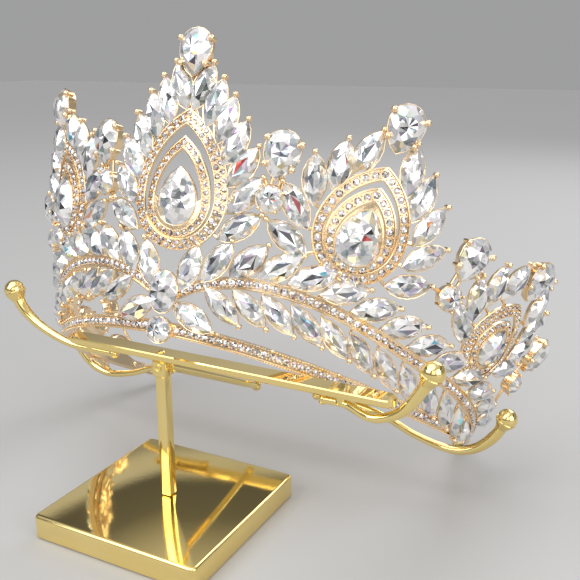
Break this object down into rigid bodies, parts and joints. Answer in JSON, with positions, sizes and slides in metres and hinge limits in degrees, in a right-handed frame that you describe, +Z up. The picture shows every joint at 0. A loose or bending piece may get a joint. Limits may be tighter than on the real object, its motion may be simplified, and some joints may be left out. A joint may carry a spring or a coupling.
{
  "type": "crystal crown on display stand",
  "caption": "Open crown of laurel leaves and five drop-shaped peaks set with clear stones, lying on a gilt display stand with a square base, a post and curved ball-ended arms.",
  "frame": {"origin": "centre of the underside of the stand's square base plate", "axes": "+Z up, -Y towards the crown's front, +X towards the wearer's left"},
  "size_m": [0.2211, 0.1387, 0.1683],
  "materials": {
    "crown_gold": "polished rose-gold plating",
    "crystal": "faceted clear glass with a foiled back",
    "stand_gold": "mirror-polished gilt"
  },
  "bodies": {
    "root": {"base_plate": "stand_gold", "centre_drop_stone": "crystal", "centre_tip_stone": "crystal", "crown_frame": "crown_gold", "front_arm_left": "stand_gold", "front_arm_right": "stand_gold", "front_bar": "stand_gold", "front_oval_stone": "crystal", "front_round_stone": "crystal", "inner_link_pear_stone_left": "crystal", "inner_link_pear_stone_right": "crystal", "inner_link_round_stone_left": "crystal", "inner_link_round_stone_right": "crystal", "middle_drop_stone_left": "crystal", "middle_drop_stone_right": "crystal", "middle_link_pear_stone_left": "crystal", "middle_link_pear_stone_right": "crystal", "middle_link_round_stone_left": "crystal", "middle_link_round_stone_right": "crystal", "middle_tip_stone_left": "crystal", "middle_tip_stone_right": "crystal", "outer_link_pear_stone_left": "crystal", "outer_link_pear_stone_right": "crystal", "outer_link_round_stone_left": "crystal", "outer_link_round_stone_right": "crystal", "post": "stand_gold", "rear_arm_left": "stand_gold", "rear_arm_right": "stand_gold", "rear_bar": "stand_gold", "rear_stay": "stand_gold", "side_drop_stone_left": "crystal", "side_drop_stone_right": "crystal", "side_tip_stone_left": "crystal", "side_tip_stone_right": "crystal"}
  },
  "joints": []
}
